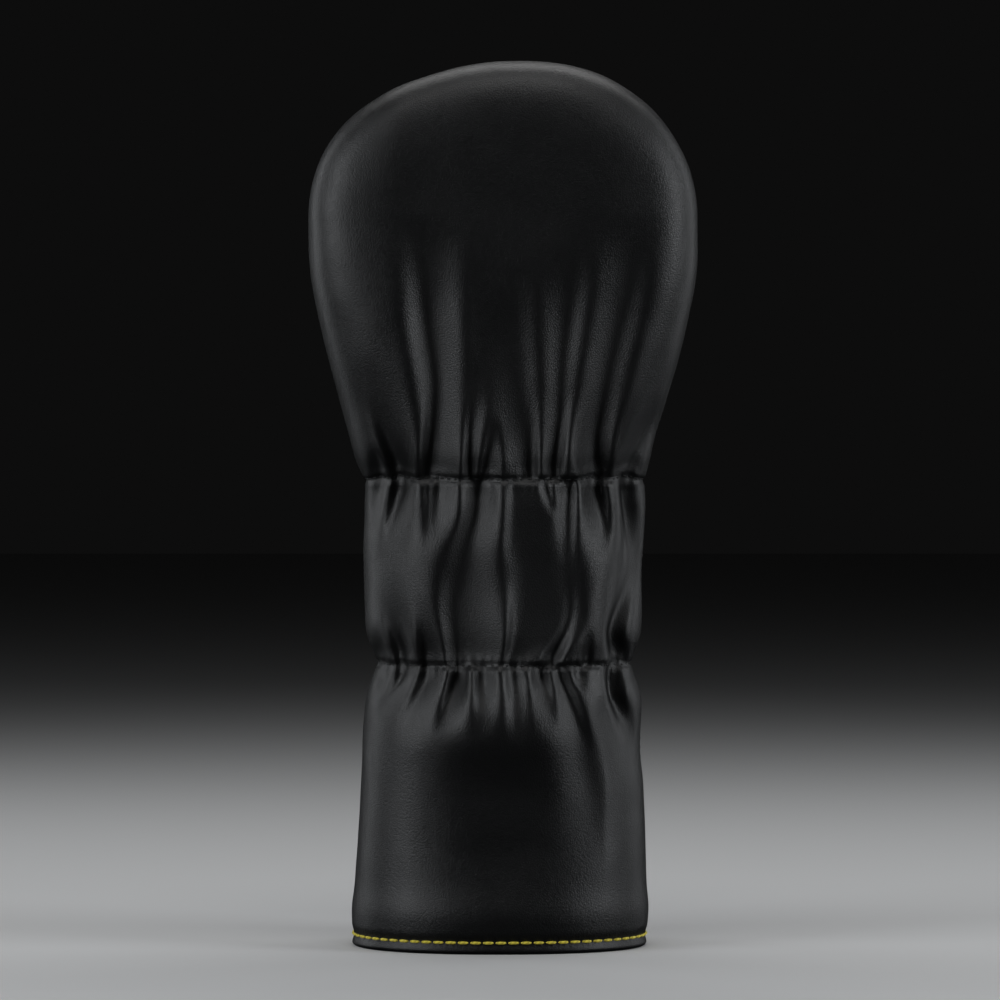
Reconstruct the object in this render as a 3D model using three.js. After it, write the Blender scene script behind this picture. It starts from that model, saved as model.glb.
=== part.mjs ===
// A padded leather head cover for a golf driver: a mitten with a domed head pocket, a sleeve that two
// sewn-in elastics gather at the back, and a turned hem with a coloured topstitch.
// Millimetres, +Z up. The origin is the centre of the oval that the hem stands on. The gathered back
// faces -Y and the plain front faces +Y.

import * as THREE from "three";
import { LoftGeometry } from "three/addons/geometries/LoftGeometry.js";
import { mergeVertices } from "three/addons/utils/BufferGeometryUtils.js";

// ---- driving dimensions ----

const TOP_HEIGHT = 320.9; // crown of the dome
const DOME_START = 263.5; // where the dome starts to close
const HEAD_HALF_WIDTH = 70.3;
const HEAD_HALF_DEPTH = 43.5;
const DOME_OUTLINE_POWER = 2.15; // superellipse power of the dome seen from the front
const DOME_DEPTH_POWER = 5; // the same seen from the side, so the padded rim is a tight roll
const CROWN_SECTION_POWER = 2.2; // the level sections round off from that power to this one at the crown
const CROWN_LEAN = 6.5; // the crown's peak sits this far to +X of the centre line

const LOWER_GATHER_HEIGHT = 102.6;
const UPPER_GATHER_HEIGHT = 169;
const LOWER_PINCH = { width: 3.4, depth: 3.2, reach: 8 }; // how far the elastic draws the sleeve in
const UPPER_PINCH = { width: 1.2, depth: 2.8, reach: 6 };
const FRONT_PINCH = 0.35; // share of that depth on the plain front, which has no elastic
const ELASTIC_WIDTH = 10;
const ELASTIC_THICKNESS = 1;

const HEM_STITCH_HEIGHT = 4.2;
const HEM_STITCH_VALLEY = { depth: 0.8, reach: 2 };
const HEM_TURN_UP = 12; // height of the doubled edge

const LEATHER = 1.4;
const FOAM = 3.6;
const FLEECE = 2.2;
const SLEEVE_CLOTH = 1.2;
const GAP = 0.35; // between neighbouring layers
const HEM_THICKNESS = 2 * LEATHER + GAP;
const THREAD_RADIUS = 0.45;
const SEAM_THREAD_RADIUS = 0.35;

const WALL_STEPS = 14; // facets round each half of the cover

// Insets of each layer's two faces from the outer skin of the cover.
const FOAM_OUTER = LEATHER + GAP;
const FOAM_INNER = FOAM_OUTER + FOAM;
const FLEECE_OUTER = FOAM_INNER + GAP;
const FLEECE_INNER = FLEECE_OUTER + FLEECE;
const CLOTH_OUTER = HEM_THICKNESS + GAP;
const CLOTH_INNER = CLOTH_OUTER + SLEEVE_CLOTH;
const ELASTIC_OUTER = LEATHER + GAP;
const ELASTIC_INNER = ELASTIC_OUTER + ELASTIC_THICKNESS;

const PADDING_START = UPPER_GATHER_HEIGHT + ELASTIC_WIDTH / 2 + GAP; // bottom edge of the foam
const LINING_JOIN_HEIGHT = PADDING_START + 4; // the sleeve's cloth meets the head's fleece here

// ---- the form ----

// Stations up the sleeve and shoulders: height, half width, half depth, lean to +X, section power.
const STATIONS = [
  { height: 0, halfWidth: 53.9, halfDepth: 41, lean: -1.1, power: 2.2 },
  { height: 34, halfWidth: 52.7, halfDepth: 41, lean: -0.3, power: 2.2 },
  { height: 69.5, halfWidth: 51.0, halfDepth: 40.5, lean: -0.1, power: 2.2 },
  { height: 93.5, halfWidth: 50.4, halfDepth: 39.5, lean: 0.5, power: 2.2 },
  { height: 121.5, halfWidth: 50.6, halfDepth: 39.5, lean: 0.4, power: 2.2 },
  { height: 144.5, halfWidth: 51.6, halfDepth: 40, lean: 0.8, power: 2.2 },
  { height: 165.5, halfWidth: 51.8, halfDepth: 39.5, lean: 0.9, power: 2.3 },
  { height: 178.5, halfWidth: 54.3, halfDepth: 40.5, lean: 0.1, power: 2.6 },
  { height: 200.5, halfWidth: 60.4, halfDepth: 42, lean: 0.4, power: 3.1 },
  { height: 222.5, halfWidth: 65.9, halfDepth: 43, lean: 0.5, power: 3.7 },
  { height: 243.5, halfWidth: 69.8, halfDepth: 43.5, lean: 0.4, power: 4.4 },
  {
    height: DOME_START,
    halfWidth: HEAD_HALF_WIDTH,
    halfDepth: HEAD_HALF_DEPTH,
    lean: 0,
    power: DOME_DEPTH_POWER,
  },
];
const STATION_KEYS = ["halfWidth", "halfDepth", "lean", "power"];
const stationCurve = new THREE.CubicInterpolant(
  STATIONS.map((station) => station.height),
  STATIONS.flatMap((station) => STATION_KEYS.map((key) => station[key])),
  STATION_KEYS.length,
);

const bell = (distance, reach) => Math.exp(-((distance / reach) ** 2));

// The level section at a height below the dome, on the gathered back or on the front.
function sleeveSection(height, isFront) {
  const [halfWidth, halfDepth, lean, power] = stationCurve.evaluate(height);
  const lower = bell(height - LOWER_GATHER_HEIGHT, LOWER_PINCH.reach);
  const upper = bell(height - UPPER_GATHER_HEIGHT, UPPER_PINCH.reach);
  const valley = HEM_STITCH_VALLEY.depth * bell(height - HEM_STITCH_HEIGHT, HEM_STITCH_VALLEY.reach);
  const widthPinch = lower * LOWER_PINCH.width + upper * UPPER_PINCH.width;
  const depthPinch = (lower * LOWER_PINCH.depth + upper * UPPER_PINCH.depth) * (isFront ? FRONT_PINCH : 1);
  return {
    halfWidth: halfWidth - widthPinch - valley,
    halfDepth: halfDepth - depthPinch - valley,
    lean,
    power,
  };
}

// The level section of the dome, where climb runs from 0 at its start to 1 at the crown.
function domeSection(climb, inset) {
  const narrowing = (power) => (1 - climb ** power) ** (1 / power);
  return {
    halfWidth: (HEAD_HALF_WIDTH - inset) * narrowing(DOME_OUTLINE_POWER),
    halfDepth: (HEAD_HALF_DEPTH - inset) * narrowing(DOME_DEPTH_POWER),
    lean: CROWN_LEAN * climb ** 4,
    power: THREE.MathUtils.lerp(DOME_DEPTH_POWER, CROWN_SECTION_POWER, climb ** 2),
  };
}

// The two halves that meet at the seams, in the plane y = 0.
const BACK = -1;
const FRONT = 1;
const signedPower = (value, power) => Math.sign(value) * Math.abs(value) ** power;

// The skin point on a row of one half, at a share from its right seam (0) to its left seam (1), inset
// from the outside. A row is a height below the dome, or { climb } on it.
function skin(row, half, share, inset = 0) {
  let section, height;
  if (typeof row === "number") {
    height = row;
    section = sleeveSection(row, half === FRONT);
    section.halfWidth -= inset;
    section.halfDepth -= inset;
  } else {
    height = DOME_START + (TOP_HEIGHT - DOME_START - inset) * row.climb;
    section = domeSection(row.climb, inset);
  }
  const { halfWidth, halfDepth, lean, power } = section;
  const angle = share * Math.PI;
  const across = halfWidth * signedPower(Math.cos(angle), 2 / power);
  const out = halfDepth * signedPower(Math.sin(angle), 2 / power);
  return new THREE.Vector3(lean + across, half * out, height);
}

const HEM_ROWS = [0, 2.2, HEM_STITCH_HEIGHT, 6.4, HEM_TURN_UP];
const SLEEVE_ROWS = [34, 64, 84, 94, LOWER_GATHER_HEIGHT, 108, 118, 142, 160, UPPER_GATHER_HEIGHT];
const DOME_ROWS = [15, 29, 42, 54, 65, 74, 82, 90].map((degrees) => ({
  climb: Math.sin(THREE.MathUtils.degToRad(degrees)) ** (2 / DOME_OUTLINE_POWER),
}));
const HEAD_ROWS = [LINING_JOIN_HEIGHT, 187, 198, 210, 223, 243.5, DOME_START, ...DOME_ROWS];

// ---- making solids ----

// Merges shared vertices and drops the triangles that collapse where the rows meet at the crown.
function closed(geometry) {
  const bare = new THREE.BufferGeometry();
  bare.setAttribute("position", geometry.getAttribute("position"));
  bare.setIndex(geometry.getIndex());
  const merged = mergeVertices(bare, 1e-4);
  const kept = [];
  const index = merged.index.array;
  for (let i = 0; i < index.length; i += 3) {
    const [a, b, c] = index.subarray(i, i + 3);
    if (a !== b && b !== c && c !== a) kept.push(a, b, c);
  }
  merged.setIndex(kept);
  merged.computeVertexNormals();
  return merged;
}

// A curved wall of one half: each section runs up the outer face and back down the inner one. outer and
// inner are insets, or functions that give the inset of a row.
function wall({ rows, half, outer, inner }) {
  const insetOf = (inset, row) => (typeof inset === "function" ? inset(row) : inset);
  const apart = new THREE.Vector3(0, half * (GAP / 2), 0);
  const sections = [];
  for (let i = 0; i <= WALL_STEPS; i++) {
    const share = half === BACK ? i / WALL_STEPS : 1 - i / WALL_STEPS;
    const outside = rows.map((row) => skin(row, half, share, insetOf(outer, row)).add(apart));
    const inside = rows.map((row) => skin(row, half, share, insetOf(inner, row)).add(apart));
    sections.push([...outside, ...inside.reverse()]);
  }
  return closed(new LoftGeometry(sections, { capStart: true, capEnd: true }));
}

// A thread along a route of points: a slim tube that starts and stops, as a sewn thread does.
function thread(route, radius, steps) {
  const extrudePath = new THREE.CatmullRomCurve3(route, false, "centripetal");
  const section = new THREE.Shape().absarc(0, 0, radius, 0, 2 * Math.PI);
  return closed(
    new THREE.ExtrudeGeometry(section, { steps, curveSegments: 3, extrudePath, bevelEnabled: false }),
  );
}

// Points along one half of the cover at one height, from its right seam to its left one.
function round(height, half, count, inset) {
  return Array.from({ length: count + 1 }, (_, i) => skin(height, half, i / count, inset));
}

// ---- materials ----

const leather = new THREE.MeshStandardMaterial({ color: 0x17181a, roughness: 0.45, metalness: 0 });
const foam = new THREE.MeshStandardMaterial({ color: 0x3a3b3d, roughness: 0.95, metalness: 0 });
const fleece = new THREE.MeshStandardMaterial({ color: 0x2b2c30, roughness: 1, metalness: 0 });
const sleeveCloth = new THREE.MeshStandardMaterial({ color: 0x202124, roughness: 0.9, metalness: 0 });
const elastic = new THREE.MeshStandardMaterial({ color: 0x101010, roughness: 0.85, metalness: 0 });
const blackThread = new THREE.MeshStandardMaterial({ color: 0x0b0b0c, roughness: 0.6, metalness: 0 });
const yellowThread = new THREE.MeshStandardMaterial({ color: 0xd8c21e, roughness: 0.5, metalness: 0 });

// ---- pieces ----

const cover = new THREE.Group();

function add(name, geometry, material) {
  const mesh = new THREE.Mesh(geometry, material);
  mesh.name = name;
  cover.add(mesh);
}

function addOuterPanels() {
  const rows = [...HEM_ROWS, HEM_TURN_UP + GAP, ...SLEEVE_ROWS, PADDING_START, ...HEAD_ROWS];
  const inner = (row) => (row <= HEM_TURN_UP ? HEM_THICKNESS : LEATHER);
  add("back_panel", wall({ rows, half: BACK, outer: 0, inner }), leather);
  add("front_panel", wall({ rows, half: FRONT, outer: 0, inner }), leather);
}

function addPadding() {
  const rows = [PADDING_START, ...HEAD_ROWS];
  const layer = { rows, outer: FOAM_OUTER, inner: FOAM_INNER };
  add("back_foam", wall({ ...layer, half: BACK }), foam);
  add("front_foam", wall({ ...layer, half: FRONT }), foam);
}

function addHeadLining() {
  const layer = { rows: HEAD_ROWS, outer: FLEECE_OUTER, inner: FLEECE_INNER };
  add("back_head_lining", wall({ ...layer, half: BACK }), fleece);
  add("front_head_lining", wall({ ...layer, half: FRONT }), fleece);
}

function addSleeveLining() {
  // The cloth starts at the top of the turned edge, and steps in above the upper elastic to meet
  // the fleece end to end.
  const rows = [HEM_TURN_UP + 2 * GAP, ...SLEEVE_ROWS, PADDING_START - GAP, LINING_JOIN_HEIGHT - GAP];
  const stepIn = FLEECE_OUTER - CLOTH_OUTER;
  const outer = (row) => CLOTH_OUTER + (row > UPPER_GATHER_HEIGHT ? stepIn : 0);
  const inner = (row) => outer(row) + SLEEVE_CLOTH;
  add("back_sleeve_lining", wall({ rows, half: BACK, outer, inner }), sleeveCloth);
  add("front_sleeve_lining", wall({ rows, half: FRONT, outer, inner }), sleeveCloth);
}

function addGathers() {
  const gathers = [
    ["upper", UPPER_GATHER_HEIGHT],
    ["lower", LOWER_GATHER_HEIGHT],
  ];
  for (const [which, height] of gathers) {
    const rows = [height - ELASTIC_WIDTH / 2, height, height + ELASTIC_WIDTH / 2];
    const band = wall({ rows, half: BACK, outer: ELASTIC_OUTER, inner: ELASTIC_INNER });
    add(`${which}_elastic`, band, elastic);
    const proud = -(SEAM_THREAD_RADIUS + GAP);
    const route = round(height, BACK, 24, proud);
    add(`${which}_gather_thread`, thread(route, SEAM_THREAD_RADIUS, 36), blackThread);
  }
}

function addHemThread() {
  // The thread starts and ends at the left seam, where the two halves meet.
  const proud = -(THREAD_RADIUS + GAP);
  const back = round(HEM_STITCH_HEIGHT, BACK, 24, proud);
  const front = round(HEM_STITCH_HEIGHT, FRONT, 24, proud);
  const route = [...back.slice(1).reverse(), ...front.slice(0, -1)];
  add("hem_thread", thread(route, THREAD_RADIUS, 72), yellowThread);
}

function addSeamThread() {
  // One line of stitches up the right side, over the crown and down the left side, on the front's edge.
  const edge = 0.02;
  const rows = [2, ...SLEEVE_ROWS, ...HEAD_ROWS.slice(0, -1)];
  const proud = -(SEAM_THREAD_RADIUS + 2 * GAP);
  const rightSide = rows.map((row) => skin(row, FRONT, edge, proud));
  const leftSide = rows.map((row) => skin(row, FRONT, 1 - edge, proud));
  add("seam_thread", thread([...rightSide, ...leftSide.reverse()], SEAM_THREAD_RADIUS, 70), blackThread);
}

addOuterPanels();
addPadding();
addHeadLining();
addSleeveLining();
addGathers();
addHemThread();
addSeamThread();

export default cover;
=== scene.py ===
"""Builds a leather head cover for a golf driver around its CAD frame, lays its materials and lights it.

The cover is one smooth form: level sections stacked up a sleeve, closed by a dome. Every layer is a grid
laid over that form at its own inset, and one field of creases moves all the layers together, so that the
leather, the padding and the linings gather as they do when they are sewn through.
"""

import math
from collections import namedtuple

import bmesh
import bpy
import numpy as np
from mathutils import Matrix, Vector, noise


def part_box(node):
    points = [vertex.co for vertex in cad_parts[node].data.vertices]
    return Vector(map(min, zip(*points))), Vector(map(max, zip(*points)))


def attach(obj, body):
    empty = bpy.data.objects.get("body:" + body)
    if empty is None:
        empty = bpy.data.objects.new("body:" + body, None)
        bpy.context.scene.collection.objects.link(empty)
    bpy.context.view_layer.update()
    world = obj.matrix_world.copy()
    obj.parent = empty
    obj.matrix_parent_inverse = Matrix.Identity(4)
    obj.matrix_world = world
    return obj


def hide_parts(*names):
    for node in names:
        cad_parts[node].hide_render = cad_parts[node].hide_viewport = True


bl_info = {
    "name": "Driver Head Cover",
    "version": (1, 0, 0),
    "blender": (4, 5, 0),
    "location": "3D View > Sidebar > Head Cover",
    "description": "Builds a padded leather head cover for a golf driver, with its linings and stitches",
    "category": "Object",
}

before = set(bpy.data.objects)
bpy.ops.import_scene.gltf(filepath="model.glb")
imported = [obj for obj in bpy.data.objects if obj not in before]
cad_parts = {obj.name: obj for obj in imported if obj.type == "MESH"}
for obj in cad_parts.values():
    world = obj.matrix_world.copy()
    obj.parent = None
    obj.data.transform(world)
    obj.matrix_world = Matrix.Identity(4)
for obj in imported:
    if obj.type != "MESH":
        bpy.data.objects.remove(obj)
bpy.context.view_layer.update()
MM = 0.001


def node_box(node):
    """The lowest and highest corners of a CAD node, in millimetres."""
    low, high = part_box(node)
    return np.array(low) / MM, np.array(high) / MM


def node_height(node):
    """The middle height of a CAD node, in millimetres."""
    low, high = node_box(node)
    return float(low[2] + high[2]) / 2


# ---- sizes, in millimetres ----

TOP_HEIGHT = float(node_box("front_panel")[1][2]) - 0.6
HEAD_HALF_WIDTH = float(node_box("front_panel")[1][0])
HEAD_HALF_DEPTH = float(node_box("front_panel")[1][1]) - 0.2
DOME_START = 263.5
DOME_HEIGHT = TOP_HEIGHT - DOME_START
DOME_OUTLINE_POWER = 2.15  # how square the dome's outline is, seen from the back
DOME_DEPTH_POWER = 5.4  # how square the level section is where the dome starts
CROWN_LEAN = 6.5  # how far the crown leans to +X
DOME_SPAN = 92.0  # length of leather from the start of the dome up to the crown

UPPER_GATHER = node_height("upper_gather_thread")
LOWER_GATHER = node_height("lower_gather_thread")
HEM_STITCH = node_height("hem_thread")
ELASTIC_WIDTH = 10.0

LEATHER = 1.4
LEATHER_PIECE = LEATHER - 0.15  # left a little thinner, clear of the padding
HEM_THICKNESS = 3.15
HEM_TURN_UP = 12.0
FOAM_INSET, FOAM = 1.9, 3.3
FLEECE_INSET, FLEECE = 5.9, 2.0
CLOTH_INSET, CLOTH = 3.6, 1.1
ELASTIC_INSET, ELASTIC = 1.8, 0.9
PADDING_START = UPPER_GATHER + ELASTIC_WIDTH / 2 + 0.5
LINING_JOIN = PADDING_START + 4.0

PANEL_ROW_SPACING = 1.7
LAYER_COLUMNS = 72

SEAM_GAP = 0.12  # from the middle plane to the edge of each half
SEAM_ROLL = 2.4  # width of leather that rolls into a side seam
SEAM_DEPTH = 1.3

# Stations up the sleeve and shoulders: height, half width, half depth, lean to +X, section power.
STATIONS = np.array(
    [
        (0, 53.9, 41, -1.1, 2.2),
        (34, 52.7, 41, -0.3, 2.2),
        (69.5, 51.0, 40.5, -0.1, 2.2),
        (93.5, 50.4, 39.5, 0.5, 2.2),
        (121.5, 50.6, 39.5, 0.4, 2.2),
        (144.5, 51.6, 40, 0.8, 2.2),
        (165.5, 51.8, 39.5, 0.9, 2.3),
        (178.5, 54.3, 40.5, 0.1, 2.6),
        (200.5, 60.4, 42, 0.4, 3.2),
        (222.5, 65.9, 43, 0.5, 3.9),
        (243.5, 69.8, 43.5, 0.4, 4.7),
        (DOME_START, HEAD_HALF_WIDTH, HEAD_HALF_DEPTH, 0, DOME_DEPTH_POWER),
    ]
)

BACK, FRONT = -1, 1

# How the gather lines draw the form in: half width, half depth and the reach up and down.
LOWER_PINCH = (3.4, 1.6, 8)
UPPER_PINCH = (1.2, 1.4, 6)
FRONT_PINCH = 0.35  # share of the gathers' depth on the plain front
HEM_VALLEY = 0.8  # how deep the hem stitches pull into the leather


# ---- the form ----


def smooth_through(places, values, at):
    """A smooth curve through values at rising places, with level ends."""
    places, values = np.asarray(places, float), np.asarray(values, float)
    slopes = np.gradient(values, places)
    at = np.clip(at, places[0], places[-1])
    i = np.clip(np.searchsorted(places, at) - 1, 0, len(places) - 2)
    width = places[i + 1] - places[i]
    s = (at - places[i]) / width
    start, end = values[i], values[i + 1]
    bend = slopes[i] * width * s * (1 - s) ** 2 - slopes[i + 1] * width * s**2 * (1 - s)
    return start + (end - start) * s * s * (3 - 2 * s) + bend


def bell(distance, reach):
    return np.exp(-((distance / reach) ** 2))


def signed_power(value, power):
    return np.sign(value) * np.abs(value) ** power


def section_at(height, half):
    """Half width, half depth, lean and power of the level section at heights below the dome."""
    width, depth, lean, power = (
        smooth_through(STATIONS[:, 0], STATIONS[:, k], height) for k in range(1, 5)
    )
    lower = bell(height - LOWER_GATHER, LOWER_PINCH[2])
    upper = bell(height - UPPER_GATHER, UPPER_PINCH[2])
    share = 1.0 if half == BACK else FRONT_PINCH
    valley = HEM_VALLEY * bell(height - HEM_STITCH, 2)
    width = width - LOWER_PINCH[0] * lower - UPPER_PINCH[0] * upper - valley
    depth = depth - (LOWER_PINCH[1] * lower + UPPER_PINCH[1] * upper) * share - valley
    return width, depth, lean, power


def even_quarter(width, depth, power, count):
    """Points evenly spaced along a quarter section, as shares of its half width and half depth."""
    corner = 0.5 ** (1 / power)
    near = np.linspace(0, corner, 160)
    x = np.concatenate([near, (1 - near[::-1] ** power) ** (1 / power)])
    y = np.concatenate([(1 - near**power) ** (1 / power), near[::-1]])
    length = np.concatenate([[0], np.cumsum(np.hypot(np.diff(x) * width, np.diff(y) * depth))])
    even = np.linspace(0, length[-1], count)
    return np.interp(even, length, x), np.interp(even, length, y)


class Form:
    """The smooth form of one half. A point is named by across, from -1 at the left seam to 1 at the right
    one, and up, its height below the dome and then the length of leather climbed over it."""

    HEIGHT_STEP = 3.0
    LEVELS = 201

    def __init__(self, half):
        self.half = half
        heights = np.arange(0, DOME_START + self.HEIGHT_STEP, self.HEIGHT_STEP)
        self.heights = np.minimum(heights, DOME_START)
        rows = []
        for height in self.heights:
            width, depth, _, power = section_at(height, half)
            rows.append(even_quarter(width, depth, power, self.LEVELS))
        self.shares = np.array(rows)

    def quarter(self, height, level):
        """The shares of half width and half depth at a level from 0 in the middle to 1 at a seam."""
        row = np.clip(height / self.HEIGHT_STEP, 0, len(self.heights) - 1.001)
        column = np.clip(level, 0, 1) * (self.LEVELS - 1.001)
        i, j = row.astype(int), column.astype(int)
        a, b = row - i, column - j

        def blend(table):
            low = table[i, j] * (1 - b) + table[i, j + 1] * b
            high = table[i + 1, j] * (1 - b) + table[i + 1, j + 1] * b
            return low * (1 - a) + high * a

        return blend(self.shares[:, 0]), blend(self.shares[:, 1])

    def points(self, across, up, inset=0.0):
        """Points in millimetres, moved inwards by an inset."""
        across, up, inset = np.broadcast_arrays(
            np.asarray(across, float), np.asarray(up, float), np.asarray(inset, float)
        )
        height = np.minimum(up, DOME_START)
        climb = np.clip((up - DOME_START) / DOME_SPAN, 0, 1)
        width, depth, lean, power = section_at(height, self.half)
        width, depth, rise_span = width - inset, depth - inset, DOME_HEIGHT - inset
        side = np.abs(across)
        level = np.maximum(side, climb)
        reach, out = self.quarter(height, level)
        # On the dome the rows bend from level ones at its start to arcs under the crown.
        safe = np.maximum(level, 1e-9)
        on_side = np.pi / 4 * climb / safe
        over_top = np.pi / 2 - np.pi / 4 * across / safe
        turned = np.where(climb >= side, over_top, np.where(across >= 0, on_side, np.pi - on_side))
        x = width * reach * signed_power(np.cos(turned), 2 / DOME_OUTLINE_POWER)
        rise = reach * np.abs(np.sin(turned)) ** (2 / DOME_OUTLINE_POWER)
        rise = np.where(climb > 0, rise, 0.0)
        x = np.where(climb > 0, x, np.sign(across) * width * reach)
        lean = lean + CROWN_LEAN * rise**4
        y = self.half * (depth * out + SEAM_GAP)
        return np.stack([x + lean, y, height + rise_span * rise], axis=-1)

    def normals(self, across, up):
        """Outward unit normals, from the differences between near points."""
        step, lift = 0.004, 0.4
        top = DOME_START + DOME_SPAN
        sides = [self.points(np.clip(across + off, -1, 1), up) for off in (step, -step)]
        ends = [self.points(across, np.clip(up + off, 0, top)) for off in (lift, -lift)]
        right, higher = sides[0] - sides[1], ends[0] - ends[1]
        outward = np.cross(right, higher) * -self.half
        return outward / np.maximum(np.linalg.norm(outward, axis=-1, keepdims=True), 1e-12)


FORMS = {half: Form(half) for half in (BACK, FRONT)}


# ---- creases ----

# A crease is a valley that runs away from a gather line. Its points are height, place across and depth.
# On one side the leather climbs out of it steeply. On the other it climbs away slowly to a crest, ever
# steeper, as pleated leather does: that ramp's widths are given for the same points. The ramp lies
# towards the middle of the back, so it faces the nearer side, or on the far side where its width is
# negative. The steep side is one and a half times as wide as steep says.
Crease = namedtuple("Crease", "heights places depths ramps steep")


def crease(*points, steep=2.2):
    heights, places, depths, ramps = np.array(sorted(points), float).T
    return Crease(heights, places, depths, ramps, steep)


HEAD_CREASES = (
    crease((169, -43.8, 2.0, 3), (174, -44.8, 1.6, 3), (181, -46.5, 0, 3)),
    crease((169, -37.4, 3.6, 8), (177, -39.5, 3.8, 9), (187, -43.0, 2.8, 11), (200, -47.2, 1.2, 13),
           (216, -52, 0, 14)),
    crease((169, -27.0, 3.6, 12), (182, -26.0, 4.4, 12), (193, -25.3, 5.0, 12), (206, -26.0, 5.2, 13),
           (224, -29, 4.6, 15), (243, -31, 2.4, 17), (264, -33, 0, 18)),
    crease((169, -11.6, 3.2, 3.6), (187, -11.4, 3.2, 5), (203, -10.6, 2.6, 8), (216, -10, 1.8, 12),
           (232, -10, 1.2, 15), (254, -10, 0, 16), steep=1.8),
    crease((169, -6.9, 2.8, 7), (182, -4.3, 2.2, 6), (191, -2.8, 1.2, 6), (203, -1, 0, 6)),
    crease((169, 3.2, 1.2, -5), (180, 3.6, 1.0, -5), (190, 4.0, 0.6, -5), (200, 4.3, 0, -5)),
    crease((169, 10.4, 3.6, 9), (187, 10.4, 3.6, 14), (203, 9.4, 3.0, 18), (219, 8.4, 2.2, 20),
           (246, 6, 0, 20)),
    crease((169, 18.4, 3.2, 5), (185, 20.3, 4.2, 7.5), (198, 21.9, 4.6, 8.5), (210, 23.0, 4.2, 10),
           (224, 25.1, 3.6, 12), (252, 28.5, 0, 13)),
    crease((169, 33.4, 4.0, 7), (182, 33.4, 5.0, 9), (191, 35.0, 5.0, 10.5), (203, 37.4, 4.6, 11),
           (216, 40.5, 4.0, 12.5), (230, 44.0, 3.2, 13), (264, 50, 0, 15), steep=4.0),
    crease((169, 45.6, 3.8, 8.5), (178, 49.0, 3.8, 8), (188, 53.2, 3.2, 8), (200, 57.0, 2.0, 7),
           (218, 61, 0, 7)),
)
MIDDLE_CREASES = (
    crease((169, -43.8, 2.2, 3), (160, -45.4, 1.6, 3), (148, -46.5, 0, 3)),
    crease((169, -36.6, 3.2, 6), (159, -39.0, 3.0, 7), (149, -40.8, 1.8, 8), (138, -42, 0, 9)),
    crease((169, -26.7, 1.8, 3), (155, -26.8, 1.4, 4), (142, -27, 0, 4), steep=1.2),
    crease((169, -22.8, 2.4, 7), (155, -24.0, 1.6, 8), (145, -25, 0, 9)),
    crease((169, -12.6, 2.0, 3), (160, -13.0, 1.2, 3), (152, -13.6, 0, 3), steep=1.2),
    crease((169, -8.0, 4.0, 7), (155, -9.6, 4.0, 9), (144, -13.4, 4.0, 13), (133, -16.4, 4.2, 19),
           (122, -17.4, 4.2, 19), (112, -16.4, 4.2, 18), (102.6, -15.5, 4.0, 17), steep=4.0),
    crease((169, 4.8, 1.2, -10), (156, 4.0, 2.0, -18), (144, 3.3, 3.0, -24), (128, 4.8, 3.8, -26),
           (112, 4.4, 3.4, -22), (102.6, 2.4, 2.4, -10)),
    crease((169, 15.6, 2.4, 4), (160, 17.8, 1.8, 5), (151, 20.2, 0, 5), steep=1.2),
    crease((169, 24.0, 2.8, 6), (155, 23.6, 3.2, 7), (144, 23.5, 3.4, 7), (133, 24.1, 3.4, 7),
           (120, 24.2, 3.4, 7), (112, 21.6, 3.6, 8), (102.6, 16.8, 3.6, 7)),
    crease((169, 33.7, 4.2, 7), (160, 35.3, 4.0, 8), (151, 36.4, 2.6, 9), (138, 35, 0, 10), steep=2.0),
    crease((169, 43.0, 5.0, 1.5), (155, 44.6, 8.0, 1.4), (139, 44.7, 8.6, 1.4), (128, 42.4, 8.0, 1.4),
           (114, 38.8, 6.5, 1.4), (102.6, 39.8, 4.5, 1.4), steep=4.2),
    crease((102.6, -43.2, 2.0, 3), (111, -44.6, 1.0, 3), (118, -45.4, 0, 3)),
    crease((102.6, -36.2, 3.4, 6), (112, -38.6, 3.0, 7), (120, -40.2, 1.6, 8), (130, -42, 0, 8)),
    crease((102.6, -27.2, 3.0, 8), (110, -27.6, 2.2, 9), (118, -28.4, 1.0, 10), (128, -29, 0, 10)),
    crease((102.6, -5.8, 2.8, 5), (110, -5.9, 2.2, 5), (119, -5.9, 0, 5)),
    crease((102.6, 30.6, 1.8, 3), (108, 30.9, 1.2, 3), (116, 31.2, 0, 3), steep=1.2),
)
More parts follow.
